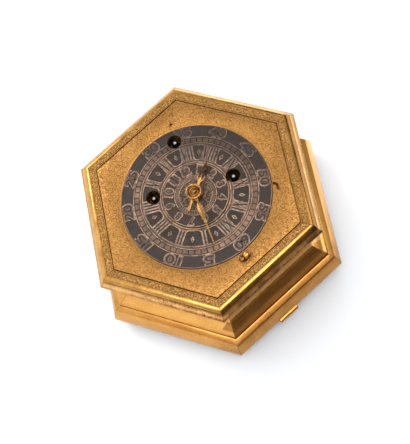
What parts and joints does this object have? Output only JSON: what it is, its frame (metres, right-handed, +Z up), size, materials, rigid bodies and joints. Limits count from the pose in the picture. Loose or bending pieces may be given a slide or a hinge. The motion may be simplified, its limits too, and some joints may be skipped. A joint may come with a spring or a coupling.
{
  "type": "hexagonal table clock",
  "caption": "Horizontal hexagonal gilt table clock with striking and alarm work, dial on top, hinged bottom cover.",
  "frame": {"origin": "on the table, under the middle of the case", "axes": "+Z up out of the dial, +Y towards XII, +X towards III"},
  "size_m": [0.1302, 0.1144, 0.0621],
  "materials": {
    "gilt_engraved": "engraved and gilded, worn",
    "gilt_polished": "polished gilding",
    "silvered_dark": "silvered, darkened by oxide",
    "gilt_hands": "chased and gilded",
    "brass_works": "filed and polished",
    "steel": "filed, slightly dark",
    "bell_metal": "turned bell metal"
  },
  "bodies": {
    "case": {"top_moulding": "gilt_engraved", "case_wall": "gilt_polished", "base_moulding": "gilt_polished", "hinge_pin": "steel", "cover_catch": "steel", "dial_plate": "gilt_engraved", "chapter_disc": "silvered_dark", "front_plate": "brass_works", "back_plate": "brass_works", "pillar_1": "brass_works", "pillar_2": "brass_works", "pillar_3": "brass_works", "pillar_4": "brass_works", "barrel_arbor": "steel", "fusee_chain": "steel", "counter_potence": "brass_works", "potence": "brass_works", "balance_cock": "gilt_engraved", "bell_post": "steel", "bell": "bell_metal", "bell_nut": "steel"},
    "cover": {"bottom_cover": "gilt_engraved", "foot_1": "gilt_polished", "foot_2": "gilt_polished", "foot_3": "gilt_polished", "foot_4": "gilt_polished", "foot_5": "gilt_polished", "foot_6": "gilt_polished"},
    "centre": {"centre_wheel": "brass_works", "cannon_pinion": "steel", "minute_hand": "gilt_hands", "hand_collet": "gilt_hands"},
    "hour": {"hour_wheel": "brass_works", "hour_hand": "gilt_hands"},
    "alarm_setting": {"alarm_disc": "silvered_dark"},
    "minute_work": {"minute_wheel": "brass_works"},
    "going_great": {"going_great_wheel": "brass_works"},
    "third": {"third_wheel": "brass_works"},
    "contrate": {"contrate_wheel": "brass_works"},
    "crown": {"crown_wheel": "brass_works"},
    "balance": {"verge": "steel", "balance_wheel": "gilt_engraved"},
    "fusee_winding": {"fusee": "brass_works", "going_winding_arbor": "steel"},
    "going_barrel": {"spring_barrel": "brass_works"},
    "strike_great": {"strike_great_wheel": "brass_works", "strike_barrel": "brass_works"},
    "strike_winding": {"strike_winding_arbor": "steel"},
    "pins": {"pin_wheel": "brass_works"},
    "warning": {"warning_wheel": "brass_works"},
    "fly_vane": {"fly": "steel"},
    "count": {"count_wheel": "brass_works"},
    "hammer": {"strike_hammer": "steel"},
    "alarm_drive": {"alarm_barrel": "brass_works", "alarm_wheel": "brass_works"},
    "alarm_winding": {"alarm_winding_arbor": "steel"},
    "alarm_beater": {"alarm_hammer": "steel"},
    "catch": {"catch_knob": "gilt_polished"},
    "silence": {"silence_lever": "steel"}
  },
  "joints": [
    {"name": "cover_hinge", "type": "hinge", "parent": "case", "child": "cover", "pos_m": [0, 0.0565, 0.007], "axis": [1, 0, 0], "range_deg": [0, 110]},
    {"name": "centre_turn", "type": "hinge", "parent": "case", "child": "centre", "pos_m": [0, 0, 0], "axis": [0, 0, 1], "continuous": true},
    {"name": "hour_turn", "type": "hinge", "parent": "case", "child": "hour", "pos_m": [0, 0, 0], "axis": [0, 0, 1], "continuous": true},
    {"name": "alarm_setting_turn", "type": "hinge", "parent": "hour", "child": "alarm_setting", "pos_m": [0, 0, 0], "axis": [0, 0, 1], "continuous": true},
    {"name": "minute_work_turn", "type": "hinge", "parent": "case", "child": "minute_work", "pos_m": [0, 0.0096, 0], "axis": [0, 0, 1], "continuous": true},
    {"name": "going_great_turn", "type": "hinge", "parent": "case", "child": "going_great", "pos_m": [-0.01855, 0.00505, 0], "axis": [0, 0, 1], "continuous": true},
    {"name": "third_turn", "type": "hinge", "parent": "case", "child": "third", "pos_m": [0.00326, 0.01217, 0], "axis": [0, 0, 1], "continuous": true},
    {"name": "contrate_turn", "type": "hinge", "parent": "case", "child": "contrate", "pos_m": [0.00844, 0.02113, 0], "axis": [0, 0, 1], "continuous": true},
    {"name": "crown_turn", "type": "hinge", "parent": "case", "child": "crown", "pos_m": [0.00844, 0.02113, 0.03257], "axis": [0.9397, -0.342, 0], "continuous": true},
    {"name": "balance_swing", "type": "hinge", "parent": "case", "child": "balance", "pos_m": [0.02159, 0.01635, 0], "axis": [0, 0, 1], "range_deg": [-120, 120]},
    {"name": "fusee_winding_turn", "type": "hinge", "parent": "case", "child": "fusee_winding", "pos_m": [-0.01855, 0.00505, 0], "axis": [0, 0, 1], "continuous": true},
    {"name": "going_barrel_turn", "type": "hinge", "parent": "case", "child": "going_barrel", "pos_m": [-0.01, 0.025, 0], "axis": [0, 0, 1], "continuous": true},
    {"name": "strike_great_turn", "type": "hinge", "parent": "case", "child": "strike_great", "pos_m": [0.0147, -0.0132, 0], "axis": [0, 0, 1], "continuous": true},
    {"name": "strike_winding_turn", "type": "hinge", "parent": "case", "child": "strike_winding", "pos_m": [0.0147, -0.0132, 0], "axis": [0, 0, 1], "continuous": true},
    {"name": "pin_wheel_turn", "type": "hinge", "parent": "case", "child": "pins", "pos_m": [0.00192, -0.02283, 0], "axis": [0, 0, 1], "continuous": true},
    {"name": "warning_turn", "type": "hinge", "parent": "case", "child": "warning", "pos_m": [-0.00095, -0.01494, 0], "axis": [0, 0, 1], "continuous": true},
    {"name": "fly_turn", "type": "hinge", "parent": "case", "child": "fly_vane", "pos_m": [-0.00686, -0.01598, 0], "axis": [0, 0, 1], "continuous": true},
    {"name": "count_turn", "type": "hinge", "parent": "case", "child": "count", "pos_m": [0.01402, -0.02404, 0], "axis": [0, 0, 1], "continuous": true},
    {"name": "hammer_swing", "type": "hinge", "parent": "case", "child": "hammer", "pos_m": [-0.0035, -0.0298, 0], "axis": [0, 0, -1], "range_deg": [0, 25]},
    {"name": "alarm_drive_turn", "type": "hinge", "parent": "case", "child": "alarm_drive", "pos_m": [-0.0103, -0.0272, 0], "axis": [0, 0, 1], "continuous": true},
    {"name": "alarm_winding_turn", "type": "hinge", "parent": "case", "child": "alarm_winding", "pos_m": [-0.0103, -0.0272, 0], "axis": [0, 0, 1], "continuous": true},
    {"name": "alarm_beat", "type": "hinge", "parent": "case", "child": "alarm_beater", "pos_m": [-0.017, -0.03, 0], "axis": [0, 0, 1], "range_deg": [-16, 0]},
    {"name": "catch_turn", "type": "hinge", "parent": "case", "child": "catch", "pos_m": [0.004, 0.0382, 0], "axis": [0, 0, 1], "range_deg": [0, 90]},
    {"name": "silence_turn", "type": "hinge", "parent": "case", "child": "silence", "pos_m": [-0.021, 0.0169, 0], "axis": [0, 0, 1], "range_deg": [0, 12]}
  ],
  "couplings": [
    {"joint": "hour_turn", "follows": "centre_turn", "ratio": 0.083333},
    {"joint": "minute_work_turn", "follows": "centre_turn", "ratio": -0.33333},
    {"joint": "going_great_turn", "follows": "centre_turn", "ratio": -0.16667},
    {"joint": "third_turn", "follows": "centre_turn", "ratio": -5},
    {"joint": "contrate_turn", "follows": "centre_turn", "ratio": 20},
    {"joint": "crown_turn", "follows": "centre_turn", "ratio": -66.667},
    {"joint": "going_barrel_turn", "follows": "fusee_winding_turn", "ratio": 0.97674},
    {"joint": "pin_wheel_turn", "follows": "strike_great_turn", "ratio": -6},
    {"joint": "warning_turn", "follows": "strike_great_turn", "ratio": 30},
    {"joint": "fly_turn", "follows": "strike_great_turn", "ratio": -120},
    {"joint": "count_turn", "follows": "strike_great_turn", "ratio": 1.4}
  ]
}
